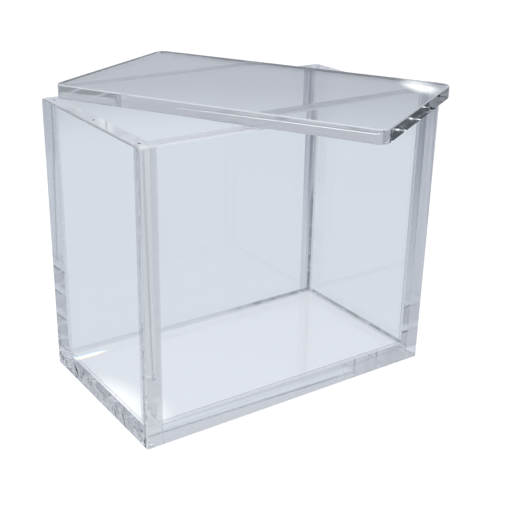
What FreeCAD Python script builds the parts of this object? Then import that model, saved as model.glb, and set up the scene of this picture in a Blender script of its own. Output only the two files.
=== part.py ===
"""Clear acrylic storage box with a loose flat lid, in millimetres.

The frame: +Z up, the origin at the centre of the base's underside.  X runs along
the long walls and Y along the short ones, with the front wall on the -Y side.
Five flat sheets are cemented edge to face into a tray that is open at the top.
A sixth sheet is the lid.  It has no hinge, catch or locating step.  It lies
loose on the rim, turned away from the closed position.
"""

import FreeCAD, Part
import os

# Outside of the tray
BOX_LENGTH = 100.0      # along X
BOX_DEPTH = 59.0        # along Y
BOX_HEIGHT = 86.0       # from the base's underside to the rim

# Sheet thicknesses
BASE_THICKNESS = 5.0
WALL_THICKNESS = 5.0
LID_THICKNESS = 4.0

# Edge finish
TRAY_ARRIS = 0.4        # scraped and polished arris on the tray's outer edges and rim
LID_CORNER_RADIUS = 3.0
LID_ARRIS = 0.3

# Lid at rest, askew on the rim
LID_CENTRE_X = 3.6
LID_CENTRE_Y = -0.95
LID_TURN = -60.1        # degrees from the closed position, about +Z
LID_AIR_GAP = 0.05      # the lid rests on the rim's high spots

# Cured beads of solvent cement in the tray's inner corners
BEAD_LEG = 1.2          # along each of the two faces that a bead joins
BEAD_BULGE = 0.34       # where the hollow face crosses the bisector, as a share of the leg

# Pin-prick holes in the side walls' rims, one near each end and one in the middle
PIN_HOLE_DIAMETER = 0.8
PIN_HOLE_DEPTH = 1.5
PIN_HOLE_END_MARGIN = 3.9
PIN_HOLE_FROM_OUTSIDE = 2.3


def vec(x, y, z):
    return FreeCAD.Vector(x, y, z)


def block(low, high):
    """A box from its lowest corner to its highest."""
    size = [h - l for l, h in zip(low, high)]
    return Part.makeBox(size[0], size[1], size[2], vec(*low))


def edges_where(shape, test):
    """The shape's edges whose two end points both pass the test."""
    return [e for e in shape.Edges if all(test(v.Point) for v in e.Vertexes)]


HALF_X = BOX_LENGTH / 2
HALF_Y = BOX_DEPTH / 2
INNER_X = HALF_X - WALL_THICKNESS
INNER_Y = HALF_Y - WALL_THICKNESS


def near(a, b):
    return abs(a - b) < 1e-6


def tray_envelope():
    """The whole tray as one shape, with every exposed edge finished, before it is split."""
    outside = block((-HALF_X, -HALF_Y, 0), (HALF_X, HALF_Y, BOX_HEIGHT))
    outside = outside.makeChamfer(TRAY_ARRIS, outside.Edges)
    hollow = block((-INNER_X, -INNER_Y, BASE_THICKNESS), (INNER_X, INNER_Y, BOX_HEIGHT + 10))
    tray = outside.cut(hollow)

    def on_inner_rim(p):
        on_rim = near(p.z, BOX_HEIGHT)
        on_hollow = near(abs(p.x), INNER_X) and near(abs(p.y), INNER_Y)
        return on_rim and on_hollow

    return tray.makeChamfer(TRAY_ARRIS, edges_where(tray, on_inner_rim))


def pin_holes():
    """The blind holes in the rims of the two side walls."""
    x = HALF_X - PIN_HOLE_FROM_OUTSIDE
    y = HALF_Y - PIN_HOLE_END_MARGIN
    holes = []
    for side in (-1, 1):
        for place in (-y, 0.0, y):
            foot = vec(side * x, place, BOX_HEIGHT - PIN_HOLE_DEPTH)
            holes.append(Part.makeCylinder(PIN_HOLE_DIAMETER / 2, PIN_HOLE_DEPTH + 1, foot))
    return holes


def tray_panels():
    """The five sheets.  The walls stand on the base, and the side walls run the full depth."""
    tray = tray_envelope()
    floor = BASE_THICKNESS
    top = BOX_HEIGHT
    regions = {
        "base_panel": ((-HALF_X, -HALF_Y, 0), (HALF_X, HALF_Y, floor)),
        "left_wall": ((-HALF_X, -HALF_Y, floor), (-INNER_X, HALF_Y, top)),
        "right_wall": ((INNER_X, -HALF_Y, floor), (HALF_X, HALF_Y, top)),
        "front_wall": ((-INNER_X, -HALF_Y, floor), (INNER_X, -INNER_Y, top)),
        "back_wall": ((-INNER_X, INNER_Y, floor), (INNER_X, HALF_Y, top)),
    }
    panels = {name: tray.common(block(low, high)) for name, (low, high) in regions.items()}
    for name in ("left_wall", "right_wall"):
        panels[name] = panels[name].cut(pin_holes())
    return panels


def lid_panel():
    """A flat plate with rounded corners and a fine arris, lying askew on the rim."""
    half_x, half_y = BOX_LENGTH / 2, BOX_DEPTH / 2
    plate = block((-half_x, -half_y, 0), (half_x, half_y, LID_THICKNESS))
    upright = [e for e in plate.Edges if abs(e.Vertexes[0].Z - e.Vertexes[-1].Z) > 1]
    plate = plate.makeFillet(LID_CORNER_RADIUS, upright)
    flat = [e for e in plate.Edges if abs(e.Vertexes[0].Z - e.Vertexes[-1].Z) < 1e-6]
    plate = plate.makeChamfer(LID_ARRIS, flat)
    plate.rotate(vec(0, 0, 0), vec(0, 0, 1), LID_TURN)
    plate.translate(vec(LID_CENTRE_X, LID_CENTRE_Y, BOX_HEIGHT + LID_AIR_GAP))
    return plate


def bead(corner, along_first, along_second, run):
    """A bead with a hollow face, in the corner between two faces.

    along_first and along_second are unit vectors out of the corner, one on each
    face, and run is the bead's length as a vector.
    """
    first = corner + along_first * BEAD_LEG
    second = corner + along_second * BEAD_LEG
    middle = corner + (along_first + along_second) * (BEAD_LEG * BEAD_BULGE)
    outline = Part.Wire([
        Part.makeLine(corner, first),
        Part.Arc(first, middle, second).toShape(),
        Part.makeLine(second, corner),
    ])
    return Part.Face(outline).extrude(run)


def cement_beads():
    """Beads along the four floor edges, and up the four inner corners."""
    up = vec(0, 0, 1)
    floor = BASE_THICKNESS
    beads = {}
    for name, side in (("front", -1), ("back", 1)):
        corner = vec(-INNER_X, side * INNER_Y, floor)
        beads["floor_bead_" + name] = bead(corner, vec(0, -side, 0), up, vec(2 * INNER_X, 0, 0))
    across = list(beads.values())
    for name, side in (("left", -1), ("right", 1)):
        corner = vec(side * INNER_X, -INNER_Y, floor)
        raw = bead(corner, vec(-side, 0, 0), up, vec(0, 2 * INNER_Y, 0))
        beads["floor_bead_" + name] = raw.cut(across)
    around = list(beads.values())
    for name_y, side_y in (("front", -1), ("back", 1)):
        for name_x, side_x in (("left", -1), ("right", 1)):
            corner = vec(side_x * INNER_X, side_y * INNER_Y, floor)
            height = vec(0, 0, BOX_HEIGHT - TRAY_ARRIS - floor)
            raw = bead(corner, vec(-side_x, 0, 0), vec(0, -side_y, 0), height)
            beads["corner_bead_" + name_y + "_" + name_x] = raw.cut(around)
    return beads


def single_solid(shape):
    """The one solid that a boolean result holds."""
    solids = shape.Solids
    assert len(solids) == 1, len(solids)
    assert solids[0].isValid()
    return solids[0]


def main():
    parts = tray_panels()
    parts["lid_panel"] = lid_panel()
    parts.update(cement_beads())
    os.makedirs("parts", exist_ok=True)
    for name, shape in parts.items():
        solid = single_solid(shape)
        solid.exportStep("parts/" + name + ".step")
        print(name, "volume", round(solid.Volume, 1), "mm3")


main()
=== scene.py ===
"""Looks of the clear lidded box: optically clear acrylic, cemented seams, sawn base edges."""

import math

import bpy
from mathutils import Matrix, Vector


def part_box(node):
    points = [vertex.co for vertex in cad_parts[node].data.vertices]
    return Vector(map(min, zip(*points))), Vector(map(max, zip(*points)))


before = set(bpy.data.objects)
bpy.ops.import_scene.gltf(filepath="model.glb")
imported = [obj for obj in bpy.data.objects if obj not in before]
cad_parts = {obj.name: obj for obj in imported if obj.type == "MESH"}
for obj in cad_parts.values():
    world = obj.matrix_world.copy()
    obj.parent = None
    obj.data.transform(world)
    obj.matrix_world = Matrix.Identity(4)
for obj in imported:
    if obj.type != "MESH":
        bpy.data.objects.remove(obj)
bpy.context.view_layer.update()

scene = bpy.context.scene

ACRYLIC_IOR = 1.49
SEAM_TOLERANCE = 2e-5        # metres

# Places that the materials need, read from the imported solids
floor_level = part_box("base_panel")[1].z
inner_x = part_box("front_wall")[1].x
inner_y = -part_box("front_wall")[1].y
outer_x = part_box("base_panel")[1].x
outer_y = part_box("base_panel")[1].y
rim_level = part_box("left_wall")[1].z


class Graph:
    """A small helper that adds shader nodes and joins them."""

    def __init__(self, tree):
        self.tree = tree

    def add(self, kind, **settings):
        node = self.tree.nodes.new(kind)
        for name, value in settings.items():
            setattr(node, name, value)
        return node

    def join(self, value, socket):
        if isinstance(value, bpy.types.NodeSocket):
            self.tree.links.new(value, socket)
        else:
            socket.default_value = value

    def math(self, operation, *values):
        node = self.add("ShaderNodeMath", operation=operation)
        for value, socket in zip(values, node.inputs):
            self.join(value, socket)
        return node.outputs[0]

    def both(self, a, b):
        return self.math("MULTIPLY", a, b)

    def either(self, a, b):
        return self.math("MAXIMUM", a, b)

    def above(self, a, limit):
        return self.math("GREATER_THAN", a, limit)

    def below(self, a, limit):
        return self.math("LESS_THAN", a, limit)

    def at(self, a, value):
        return self.math("COMPARE", a, value, SEAM_TOLERANCE)

    def ramp(self, a, low, high, to_low=0.0, to_high=1.0):
        node = self.add("ShaderNodeMapRange", interpolation_type="SMOOTHSTEP")
        for name, value in (("Value", a), ("From Min", low), ("From Max", high),
                            ("To Min", to_low), ("To Max", to_high)):
            self.join(value, node.inputs[name])
        return node.outputs["Result"]

    def noise(self, vector, scale, detail=2.0, distortion=0.0):
        node = self.add("ShaderNodeTexNoise")
        self.join(vector, node.inputs["Vector"])
        node.inputs["Scale"].default_value = scale
        node.inputs["Detail"].default_value = detail
        node.inputs["Roughness"].default_value = 0.5
        node.inputs["Distortion"].default_value = distortion
        return node.outputs["Fac"]

    def parts(self, vector):
        node = self.add("ShaderNodeSeparateXYZ")
        self.join(vector, node.inputs[0])
        return node.outputs[0], node.outputs[1], node.outputs[2]

    def dot(self, vector, direction):
        node = self.add("ShaderNodeVectorMath", operation="DOT_PRODUCT")
        self.join(vector, node.inputs[0])
        node.inputs[1].default_value = direction
        return node.outputs["Value"]

    def stretch(self, vector, factors):
        node = self.add("ShaderNodeVectorMath", operation="MULTIPLY")
        self.join(vector, node.inputs[0])
        node.inputs[1].default_value = factors
        return node.outputs[0]

    def mix_colours(self, factor, first, second):
        node = self.add("ShaderNodeMix", data_type="RGBA")
        self.join(factor, node.inputs["Factor"])
        for colour, name in ((first, "A"), (second, "B")):
            socket = next(s for s in node.inputs if s.name == name and s.type == "RGBA")
            self.join(colour if isinstance(colour, bpy.types.NodeSocket) else (*colour, 1.0), socket)
        return next(s for s in node.outputs if s.type == "RGBA")

    def mix_shaders(self, factor, first, second):
        node = self.add("ShaderNodeMixShader")
        self.join(factor, node.inputs[0])
        self.tree.links.new(first, node.inputs[1])
        self.tree.links.new(second, node.inputs[2])
        return node.outputs[0]


class Place:
    """The point on the object: its signed_x, signed_y and z, and x and y with their signs dropped."""

    def __init__(self, graph):
        self.point = graph.add("ShaderNodeTexCoord").outputs["Object"]
        self.signed_x, self.signed_y, self.z = graph.parts(self.point)
        self.x = graph.math("ABSOLUTE", self.signed_x)
        self.y = graph.math("ABSOLUTE", self.signed_y)


def face_direction(graph):
    return graph.add("ShaderNodeNewGeometry").outputs["True Normal"]


def squareness(graph, normal):
    """1 on a face that looks straight along x, y or z, and less on an arris or a hollow face."""
    face_x, face_y, face_z = [graph.math("ABSOLUTE", part) for part in graph.parts(normal)]
    return graph.either(face_x, graph.either(face_y, face_z))


def cemented(graph, place):
    """1 on the faces where two sheets of the tray are cemented, and 0 on open faces."""
    by_side = graph.above(place.x, inner_x - SEAM_TOLERANCE)
    by_front = graph.above(place.y, inner_y - SEAM_TOLERANCE)
    on_floor = graph.both(graph.at(place.z, floor_level), graph.either(by_side, by_front))
    on_side = graph.both(graph.at(place.x, inner_x), by_front)
    return graph.either(on_floor, on_side)


def cement_film(graph, place, void_threshold):
    """A seam: nearly clear, greyer up the back corners, with a painted lavender reflection up the front
    left corner, and a few small voids.
    """
    clear = graph.add("ShaderNodeBsdfTransparent")
    upright = graph.above(place.z, floor_level + SEAM_TOLERANCE)
    at_back = graph.ramp(place.signed_y, *ABOUT_MIDDLE)
    film = graph.mix_colours(graph.both(upright, at_back), PALE_FILM, BACK_FILM)
    # the front left corner's film is tinted lavender-grey as a painted reflection
    front_left = graph.both(graph.below(place.signed_x, 0.0), graph.below(place.signed_y, 0.0))
    film = graph.mix_colours(graph.both(upright, front_left), film, PAINTED_REFLECTION_FILM)
    graph.join(film, clear.inputs["Color"])
    void = graph.add("ShaderNodeBsdfGlossy")
    void.inputs["Roughness"].default_value = VOID_ROUGHNESS
    void.inputs["Color"].default_value = VOID
    voids = graph.above(graph.noise(place.point, VOIDS_SCALE), void_threshold)
    return graph.mix_shaders(voids, clear.outputs[0], void.outputs[0])


def frosted(graph):
    """Ground acrylic: it scatters light both back and through."""
    back = graph.add("ShaderNodeBsdfDiffuse")
    through = graph.add("ShaderNodeBsdfTranslucent")
    for shader in (back, through):
        shader.inputs["Color"].default_value = FROST
    return graph.mix_shaders(0.5, back.outputs[0], through.outputs[0])


def polished(graph, colour, rough, height):
    """Clear acrylic with a bump, whose height is in metres."""
    body = graph.add("ShaderNodeBsdfPrincipled")
    body.inputs["Base Color"].default_value = (*CLEAR, 1.0)
    body.inputs["Transmission Weight"].default_value = 1.0
    body.inputs["IOR"].default_value = ACRYLIC_IOR
    graph.join(colour, body.inputs["Base Color"])
    graph.join(rough, body.inputs["Roughness"])
    bump = graph.add("ShaderNodeBump")
    bump.inputs["Strength"].default_value = 1.0
    bump.inputs["Distance"].default_value = 1.0
    graph.join(height, bump.inputs["Height"])
    graph.join(bump.outputs[0], body.inputs["Normal"])
    return body.outputs[0]


def with_pin_holes(graph, place, surface):
    """The surface with pin holes in the side walls' rims.  A hole's mouth is painted dark, as painted
    shade.
    """
    from_x = graph.math("ABSOLUTE", graph.math("SUBTRACT", place.x, PIN_X))
    from_end = graph.math("ABSOLUTE", graph.math("SUBTRACT", place.y, PIN_Y))
    near_y = graph.either(graph.below(place.y, PIN_RADIUS), graph.below(from_end, PIN_RADIUS))
    below_rim = graph.below(place.z, rim_level - SEAM_TOLERANCE)
    hole = graph.both(below_rim, graph.both(graph.below(from_x, PIN_RADIUS), near_y))
    # painted shade: a dark diffuse ring at the hole's mouth
    pit_shade = graph.add("ShaderNodeBsdfDiffuse")
    pit_shade.inputs["Color"].default_value = PAINTED_SHADE_PIT
    depth = graph.add("ShaderNodeBsdfTransparent")
    mouth = graph.above(place.z, rim_level - PIN_MOUTH)
    return graph.mix_shaders(hole, surface, graph.mix_shaders(mouth, depth.outputs[0], pit_shade.outputs[0]))


def painted_corner_reflection(graph, place):
    """A painted dark reflection: the lavender-grey strip beside the back right corner."""
    on_back = graph.at(place.signed_y, inner_y)
    start = inner_x - PAINTED_REFLECTION_WIDTH
    strip = graph.ramp(place.signed_x, start, start + PAINTED_REFLECTION_BORDER)
    streaks = graph.noise(graph.stretch(place.point, UPRIGHT_STREAKS), STREAKS_SCALE)
    depth = graph.ramp(place.z, *PAINTED_REFLECTION_HEIGHTS, *PAINTED_REFLECTION_DEPTHS)
    depth = graph.both(depth, graph.ramp(streaks, *STREAK_BORDER, LEAST_STREAK, 1.0))
    return graph.both(graph.both(on_back, strip), depth)


def tray_finish(graph, place):
    """The tray sheets' colour and frost.

    The arrises and the rim are ground.  The side walls' upright front ends are cut edges, a little
    dull, with painted light and shade: the left end cream, the right end darker grey-blue.
    """
    arris = graph.below(squareness(graph, face_direction(graph)), FLAT_FACE)
    on_rim = graph.at(place.z, rim_level)
    end = graph.both(graph.at(place.y, outer_y), graph.above(place.x, inner_x))
    at_front = graph.both(graph.above(place.z, floor_level), graph.below(place.signed_y, 0.0))
    end = graph.both(end, at_front)
    frost = graph.either(graph.both(arris, ARRIS_FROST), graph.both(on_rim, RIM_FROST))
    frost = graph.either(frost, graph.both(end, END_FROST))
    right = graph.above(place.signed_x, 0.0)
    # the same cut ends: painted light, cream, on the left and painted shade, darker grey-blue, on the
    # right
    colour = graph.mix_colours(end, CLEAR, graph.mix_colours(right, PAINTED_LIGHT_END, PAINTED_SHADE_END))
    # mixes in the painted dark reflection strip beside the back right corner
    return graph.mix_colours(painted_corner_reflection(graph, place), colour, PAINTED_REFLECTION_STRIP), frost


def lid_finish(graph, place):
    """The lid's colour and frost.

    Its front and left edges are dull, and its right and back edges are polished.  The far
    arris is clear and painted near black for most of its length, as a painted dark reflection, and the
    others are ground.
    """
    normal = face_direction(graph)
    face_z = graph.math("ABSOLUTE", graph.parts(normal)[2])
    edge = graph.below(face_z, UPRIGHT_FACE)
    left_or_front = graph.both(graph.below(graph.dot(normal, LID_AXIS), TOWARDS),
                               graph.below(graph.dot(normal, LID_BACK), TOWARDS))
    dull = graph.both(edge, left_or_front)
    arris = graph.both(graph.above(face_z, UPRIGHT_FACE), graph.below(face_z, FLAT_FACE))
    from_middle = graph.math("SUBTRACT", graph.dot(place.point, LID_AXIS), CLEAR_MIDDLE)
    along_middle = graph.below(graph.math("ABSOLUTE", from_middle), CLEAR_HALF)
    clear = graph.both(graph.above(graph.dot(place.point, LID_BACK), CLEAR_FROM), along_middle)
    ground = graph.both(arris, graph.math("SUBTRACT", 1.0, clear))
    frost = graph.either(graph.both(ground, LID_ARRIS_FROST), graph.both(dull, LID_EDGE_FROST))
    # the clear stretch of the far arris is painted near black as a painted dark reflection
    return graph.mix_colours(graph.both(clear, arris), CLEAR, PAINTED_DARK_ARRIS), frost


def sawn_edges(graph, place):
    """The base's cut edges: the height of their saw marks, their roughness and their frost.

    The marks are deep on the left edge and slight on the right.  The left edge is frosted in
    patches, and the front edge mostly towards its right end.
    """
    edge_x = graph.at(place.x, outer_x)
    edge_y = graph.at(place.y, outer_y)
    marked = graph.both(edge_x, graph.ramp(place.signed_x, *ABOUT_MIDDLE, 1.0, RIGHT_MARKS))
    blotch = graph.noise(place.point, SAW_MARKS_SCALE, detail=1.0, distortion=0.8)
    height = graph.both(marked, graph.both(blotch, SAW_MARKS))
    rough = graph.both(graph.either(edge_x, edge_y), SAWN_ROUGHNESS)
    bare = graph.noise(place.point, SAWN_PATCHES, distortion=0.4)
    left = graph.both(edge_x, graph.below(place.signed_x, 0.0))
    patches = graph.both(left, graph.ramp(bare, *PATCH_BORDER, SAWN_FROST, 0.0))
    front = graph.both(edge_y, graph.below(place.signed_y, 0.0))
    to_right = graph.ramp(place.signed_x, *FRONT_FROST_FROM, LEAST_FRONT_FROST, FRONT_FROST)
    return height, rough, graph.either(patches, graph.both(front, to_right))


def new_material(name):
    material = bpy.data.materials.new(name)
    material.use_nodes = True
    material.node_tree.nodes.clear()
    return material, Graph(material.node_tree)


def clear_acrylic(name, roughness, tint, void_threshold=0.8, tray=True, sawn=False):
    """Polished acrylic, with `tint` as its absorption's density.

    On the tray, cemented faces let light straight through, apart from small voids.
    """
    material, graph = new_material(name)
    place = Place(graph)
    # a slow wave, and a slight haze that varies over the sheet
    height = graph.both(graph.noise(place.point, WAVE_SCALE, detail=1.0), WAVE)
    haze = graph.noise(place.point, HAZE_SCALE, detail=4.0)
    rough = graph.ramp(haze, *PATCHY, roughness * LEAST_HAZE, roughness)
    finish = tray_finish if tray else lid_finish
    colour, frost = finish(graph, place)
    if sawn:
        marks, sawn_rough, sawn_frost = sawn_edges(graph, place)
        height = graph.math("ADD", height, marks)
        rough = graph.either(rough, sawn_rough)
        frost = graph.either(frost, sawn_frost)
    surface = graph.mix_shaders(frost, polished(graph, colour, rough, height), frosted(graph))
    if tray:
        surface = with_pin_holes(graph, place, surface)
        film = cement_film(graph, place, void_threshold)
        surface = graph.mix_shaders(cemented(graph, place), surface, film)
    volume = graph.add("ShaderNodeVolumeAbsorption")
    volume.inputs["Color"].default_value = ABSORPTION
    volume.inputs["Density"].default_value = tint
    output = graph.add("ShaderNodeOutputMaterial")
    graph.join(surface, output.inputs["Surface"])
    graph.join(volume.outputs[0], output.inputs["Volume"])
    return material


def cured_cement(name):
    """The thin beads in the corners: nearly invisible, with a faint milky hollow face."""
    material, graph = new_material(name)
    point = Place(graph).point
    free = graph.below(squareness(graph, face_direction(graph)), JOINED_FACE)
    milk = graph.ramp(graph.noise(point, MILK_SCALE), *PATCHY, LEAST_BEAD_MILK, BEAD_MILK)
    clear = graph.add("ShaderNodeBsdfTransparent")
    clear.inputs["Color"].default_value = BEAD
    surface = graph.mix_shaders(graph.both(free, milk), clear.outputs[0], frosted(graph))
    output = graph.add("ShaderNodeOutputMaterial")
    graph.join(surface, output.inputs["Surface"])
    return material


# Colours
CLEAR = (0.985, 0.992, 1.0)
ABSORPTION = (0.15, 0.19, 0.27, 1.0)
PALE_FILM = (0.985, 0.985, 0.985)
BACK_FILM = (0.89, 0.895, 0.91)
# painted reflection: the lavender-grey tint in the front left corner's seam
PAINTED_REFLECTION_FILM = (0.87, 0.865, 0.90)
VOID = (0.82, 0.86, 0.90, 1.0)
BEAD = (0.98, 0.98, 0.985, 1.0)
# painted light and painted shade on the side walls' cut ends, left and right
PAINTED_LIGHT_END = (0.91, 0.89, 0.85)
PAINTED_SHADE_END = (0.60, 0.61, 0.67)
# painted dark reflection: the strip beside the back right corner
PAINTED_REFLECTION_STRIP = (0.12, 0.125, 0.20)
# painted dark reflection on the lid's far arris
PAINTED_DARK_ARRIS = (0.02, 0.03, 0.04)
FROST = (0.77, 0.78, 0.82, 1.0)
# painted shade in the pin holes' mouths
PAINTED_SHADE_PIT = (0.10, 0.10, 0.11, 1.0)

# How much of a surface is frosted, from 0 to 1
ARRIS_FROST = 0.5
RIM_FROST = 0.55
END_FROST = 0.45
FRONT_FROST = 0.3
LEAST_FRONT_FROST = 0.05
LID_ARRIS_FROST = 0.65
LID_EDGE_FROST = 0.35
SAWN_FROST = 0.5
BEAD_MILK = 0.2
LEAST_BEAD_MILK = 0.16

# Where a noise's value starts and ends a change
PATCHY = (0.35, 0.7)
PATCH_BORDER = (0.42, 0.56)
STREAK_BORDER = (0.3, 0.7)

# Noise scales, per metre
HAZE_SCALE = 35.0
WAVE_SCALE = 14.0
VOIDS_SCALE = 900.0
STREAKS_SCALE = 900.0
MILK_SCALE = 220.0
SAW_MARKS_SCALE = 300.0
SAWN_PATCHES = 330.0
UPRIGHT_STREAKS = (1.0, 1.0, 0.04)      # the painted reflection strip's noise is drawn out along z

# how dark the painted reflection strip is
PAINTED_REFLECTION_DEPTHS = (0.40, 1.0)   # at the foot and at the top
LEAST_STREAK = 0.7
LEAST_HAZE = 0.3
VOID_ROUGHNESS = 0.15
SAWN_ROUGHNESS = 0.05
RIGHT_MARKS = 0.1            # the right edge's saw marks, as a share of the left edge's

# How squarely a face looks along an axis
FLAT_FACE = 0.93
UPRIGHT_FACE = 0.3
JOINED_FACE = 0.985
TOWARDS = 0.5                # the cosine of 60 degrees

# Places and heights, in metres
ABOUT_MIDDLE = (-0.010, 0.010)
FRONT_FROST_FROM = (0.012, 0.020)
# where the painted reflection strip lies, in height and across
PAINTED_REFLECTION_HEIGHTS = (0.010, 0.075)
PAINTED_REFLECTION_WIDTH = 0.0047
PAINTED_REFLECTION_BORDER = 0.0004
PIN_X = 0.0477
PIN_Y = 0.0256
PIN_RADIUS = 0.0005
PIN_MOUTH = 0.0004
CLEAR_FROM = 0.030           # along LID_BACK, short of the far arris
CLEAR_MIDDLE = 0.005         # along LID_AXIS
CLEAR_HALF = 0.033
WAVE = 2e-5
SAW_MARKS = 6e-4

LID_TURN = math.radians(-60.1)
LID_AXIS = (math.cos(LID_TURN), math.sin(LID_TURN), 0.0)
LID_BACK = (-LID_AXIS[1], LID_AXIS[0], 0.0)

base_acrylic = clear_acrylic("acrylic_base", roughness=0.02, tint=0.7, void_threshold=0.76, sawn=True)
wall_acrylic = clear_acrylic("acrylic_wall", roughness=0.015, tint=2.5)
lid_acrylic = clear_acrylic("acrylic_lid", roughness=0.012, tint=0.8, tray=False)
cement = cured_cement("cement")

LOOKS = {"base_panel": base_acrylic, "lid_panel": lid_acrylic}
for name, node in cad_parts.items():
    look = cement if "bead" in name else LOOKS.get(name, wall_acrylic)
    node.data.materials.clear()
    node.data.materials.append(look)


def compass(yaw, pitch):
    """The direction at a yaw from +Y towards +X and a pitch above the level."""
    return Vector((math.cos(pitch) * math.sin(yaw), math.cos(pitch) * math.cos(yaw), math.sin(pitch)))


def turned_frame(ahead, turn):
    """The right and up of a view along `ahead`, turned anticlockwise about it."""
    level_right = ahead.cross(Vector((0, 0, 1))).normalized()
    level_up = level_right.cross(ahead)
    right = level_right * math.cos(turn) + level_up * math.sin(turn)
    up = level_up * math.cos(turn) - level_right * math.sin(turn)
    return right, up


# Camera: stands to the left of the box's front, a little above it
CAMERA_PLACE = Vector((-0.15309, -0.227759, 0.152019))
CAMERA_YAW = math.radians(34.8501)      # from +Y towards +X
CAMERA_PITCH = math.radians(-22.8358)
CAMERA_ROLL = math.radians(1.193)
CAMERA_LENS_MM = 67.42
SENSOR_MM = 36.0


def aim_camera():
    forward = compass(CAMERA_YAW, CAMERA_PITCH)
    right, up = turned_frame(forward, CAMERA_ROLL)
    data = bpy.data.cameras.new("camera")
    data.lens = CAMERA_LENS_MM
    data.sensor_width = SENSOR_MM
    data.clip_start = 0.01
    data.clip_end = 50.0
    camera = bpy.data.objects.new("camera", data)
    turn = Matrix((right, up, -forward)).transposed().to_4x4()
    camera.matrix_world = Matrix.Translation(CAMERA_PLACE) @ turn
    scene.collection.objects.link(camera)
    scene.camera = camera


aim_camera()


# Studio: a white table in a grey room.  What the acrylic's edges mirror is dark towards the
# camera's left and dim to the right of the box.  The lengths are in metres.
FLOOR_GAP = 1e-4
FLOOR_REACH = 4.0
TABLE = (0.70, 0.745, 0.795)           # what the acrylic shows of the table beside the box
FAR_TABLE = (0.53, 0.555, 0.61)
UNDER_BOX = (0.82, 0.85, 0.90)
DARK_ROOM = (0.004, 0.010, 0.014)
DIM_SIDE = (0.02, 0.04, 0.045)
LOW_SKY = (0.49, 0.51, 0.565)
HIGH_SKY = (0.62, 0.64, 0.69)
CEILING = (1.9, 1.92, 1.97)
TO_DARK = compass(math.radians(-125), 0.0)
WHITE_STRENGTH = 1.05

# Sines of the heights where the sky changes, and cosines of the angles from TO_DARK
HIGH_SKY_FROM = (0.32, 0.55)
CEILING_FROM = (0.75, 0.92)
DARK_SKY_FROM = (0.30, 0.50)


def white_to_camera(graph, through, kind, output_kind):
    """The plain white studio that the camera sees past the box, and `through` in the acrylic."""
    direct = graph.add(kind)
    direct.inputs["Color"].default_value = (1.0, 1.0, 1.0, 1.0)
    direct.inputs["Strength"].default_value = WHITE_STRENGTH
    seen = graph.add(kind)
    graph.join(through, seen.inputs["Color"])
    path = graph.add("ShaderNodeLightPath")
    surface = graph.mix_shaders(path.outputs["Is Camera Ray"], seen.outputs[0], direct.outputs[0])
    output = graph.add(output_kind)
    graph.tree.links.new(surface, output.inputs["Surface"])


def oval(graph, x, y, middle, radii, soft):
    """1 inside an oval, falling to 0 over a soft edge."""
    over_x = graph.both(graph.math("SUBTRACT", x, middle[0]), 1.0 / radii[0])
    over_y = graph.both(graph.math("SUBTRACT", y, middle[1]), 1.0 / radii[1])
    away = graph.math("SQRT", graph.math("ADD", graph.both(over_x, over_x), graph.both(over_y, over_y)))
    return graph.ramp(away, 1.0 - soft, 1.0 + soft, 1.0, 0.0)


def seen_inside(graph):
    """1 for what is seen by a reflection, which is mostly inside the acrylic's edges.

    The dark side of the room shows there, and not straight through the sheets.
    """
    return graph.above(graph.add("ShaderNodeLightPath").outputs["Glossy Depth"], 0.5)


def gathered_light(graph, place):
    """The table under the box: pale, with the patch and the streak that its left wall gathers."""
    x, y = place.signed_x, place.signed_y
    patch = oval(graph, x, y, GLOW_MIDDLE, GLOW_RADII, GLOW_SOFT)
    # the streak's colours part a little, as light through an edge does
    streak = graph.add("ShaderNodeCombineColor")
    for socket, shift in zip(streak.inputs, (-COLOURS_APART, 0.0, COLOURS_APART)):
        middle = (STREAK_MIDDLE[0], STREAK_MIDDLE[1] + shift)
        graph.join(oval(graph, x, y, middle, STREAK_RADII, STREAK_SOFT), socket)
    lit = graph.add("ShaderNodeMix", data_type="RGBA", blend_type="ADD")
    lit.inputs["Factor"].default_value = 1.0
    colours = [s for s in lit.inputs if s.type == "RGBA"]
    graph.join(graph.mix_colours(patch, UNDER_BOX, GLOW), colours[0])
    graph.join(streak.outputs[0], colours[1])
    return next(s for s in lit.outputs if s.type == "RGBA")


def table_colour(graph):
    """The table: dark to one side, dim to another, and pale under the box."""
    place = Place(graph)
    away = graph.add("ShaderNodeVectorMath", operation="LENGTH")
    graph.join(place.point, away.inputs[0])
    near_to_far = graph.ramp(away.outputs["Value"], *NEAR_TO_FAR)
    to_dark = graph.dot(place.point, TO_DARK)
    across = graph.math("ABSOLUTE", graph.dot(place.point, (TO_DARK.y, -TO_DARK.x, 0.0)))
    spread = graph.math("DIVIDE", across, graph.either(to_dark, LEAST_AWAY))
    dark = graph.both(graph.ramp(to_dark, *DARK_FROM), graph.ramp(spread, *DARK_SPREAD, 1.0, 0.0))
    inside = seen_inside(graph)
    dark = graph.both(dark, inside)
    table = graph.mix_colours(near_to_far, TABLE, FAR_TABLE)
    table = graph.mix_colours(dark, table, DARK_ROOM)
    to_right = graph.ramp(place.signed_x, *DIM_FROM)
    beside = graph.ramp(place.y, *DIM_SPREAD, 1.0, 0.0)
    dim = graph.both(inside, graph.both(to_right, beside))
    table = graph.mix_colours(dim, table, DIM_SIDE)
    under_x = graph.ramp(place.x, outer_x - UNDER_INSIDE, outer_x + UNDER_OUTSIDE, 1.0, 0.0)
    under_y = graph.ramp(place.y, outer_y - UNDER_INSIDE, outer_y + UNDER_OUTSIDE, 1.0, 0.0)
    return graph.mix_colours(graph.both(under_x, under_y), table, gathered_light(graph, place))


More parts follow.
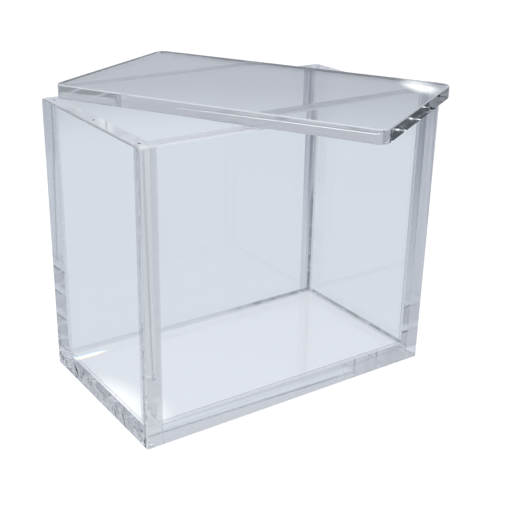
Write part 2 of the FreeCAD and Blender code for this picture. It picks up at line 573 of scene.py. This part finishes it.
# The table's zones, in metres from the box's middle; a spread is across over away
NEAR_TO_FAR = (0.27, 0.40)
DARK_FROM = (0.06, 0.09)
DARK_SPREAD = (2.0, 2.9)
LEAST_AWAY = 0.01
DIM_FROM = (0.20, 0.27)
DIM_SPREAD = (0.10, 0.20)
UNDER_INSIDE = 0.004
UNDER_OUTSIDE = 0.002
GLOW = (1.40, 1.40, 1.39)
GLOW_MIDDLE = (-0.0475, -0.007)
GLOW_RADII = (0.009, 0.015)
GLOW_SOFT = 0.6
STREAK_MIDDLE = (-0.0407, 0.0235)
STREAK_RADII = (0.0068, 0.0008)
STREAK_SOFT = 0.4
COLOURS_APART = 0.0003


def pale_floor():
    """The table, which stands a hair under the box."""
    mesh = bpy.data.meshes.new("floor")
    signs = [(-1, -1), (1, -1), (1, 1), (-1, 1)]
    corners = [(a * FLOOR_REACH, b * FLOOR_REACH, -FLOOR_GAP) for a, b in signs]
    mesh.from_pydata(corners, [], [(0, 1, 2, 3)])
    floor = bpy.data.objects.new("floor", mesh)
    scene.collection.objects.link(floor)
    material, graph = new_material("floor")
    white_to_camera(graph, table_colour(graph), "ShaderNodeEmission", "ShaderNodeOutputMaterial")
    mesh.materials.append(material)


pale_floor()


# A small window, low beyond the lid's right corner, that the lid's top mirrors
WINDOW = (2.3, 2.4, 2.4)
WINDOW_AHEAD = compass(math.radians(44.4), math.radians(12.45))
WINDOW_ALONG, WINDOW_ACROSS = turned_frame(WINDOW_AHEAD, math.radians(12.0))
WINDOW_RADII = (0.015, 0.0045)
WINDOW_SOFT = 0.8
WINDOW_SIDE = 0.9


def studio_sky():
    """Grey low down, bright overhead, dark to one side, and white where the camera sees it."""
    world = bpy.data.worlds.new("studio")
    scene.world = world
    world.use_nodes = True
    world.node_tree.nodes.clear()
    graph = Graph(world.node_tree)
    direction = graph.add("ShaderNodeTexCoord").outputs["Generated"]
    height = graph.parts(direction)[2]
    sky = graph.mix_colours(graph.ramp(height, *HIGH_SKY_FROM), LOW_SKY, HIGH_SKY)
    sky = graph.mix_colours(graph.ramp(height, *CEILING_FROM), sky, CEILING)
    dark_side = graph.ramp(graph.dot(direction, TO_DARK), *DARK_SKY_FROM)
    dark = graph.both(seen_inside(graph), dark_side)
    sky = graph.mix_colours(dark, sky, DARK_ROOM)
    along = graph.dot(direction, WINDOW_ALONG)
    across = graph.dot(direction, WINDOW_ACROSS)
    # an oval lies on the far side of the sky too, and is left out
    ahead = graph.above(graph.dot(direction, WINDOW_AHEAD), WINDOW_SIDE)
    window = graph.both(ahead, oval(graph, along, across, (0.0, 0.0), WINDOW_RADII, WINDOW_SOFT))
    colour = graph.mix_colours(window, sky, WINDOW)
    white_to_camera(graph, colour, "ShaderNodeBackground", "ShaderNodeOutputWorld")


studio_sky()


LIGHTS_AIM = Vector((0.0, 0.0, 0.05))


def soft_light(name, where, size, power):
    """A soft box that lights the ground and frosted faces, and is not mirrored in the polish."""
    data = bpy.data.lights.new(name, "AREA")
    data.shape = "RECTANGLE"
    data.size, data.size_y = size
    data.energy = power
    light = bpy.data.objects.new(name, data)
    light.location = where
    aim = LIGHTS_AIM - Vector(where)
    light.rotation_euler = aim.to_track_quat("-Z", "Y").to_euler()
    light.visible_camera = False
    light.visible_glossy = False
    light.visible_transmission = False
    scene.collection.objects.link(light)


soft_light("softbox_top", (0.2, -0.2, 1.4), (1.2, 1.0), 1.0)
soft_light("softbox_front", (-1.0, -1.0, 0.8), (1.0, 0.8), 28.0)

scene.view_settings.view_transform = "Standard"
scene.view_settings.look = "None"
scene.cycles.max_bounces = 40
scene.cycles.transmission_bounces = 40
scene.cycles.glossy_bounces = 16
scene.cycles.transparent_max_bounces = 40
scene.cycles.caustics_reflective = True
scene.cycles.caustics_refractive = True
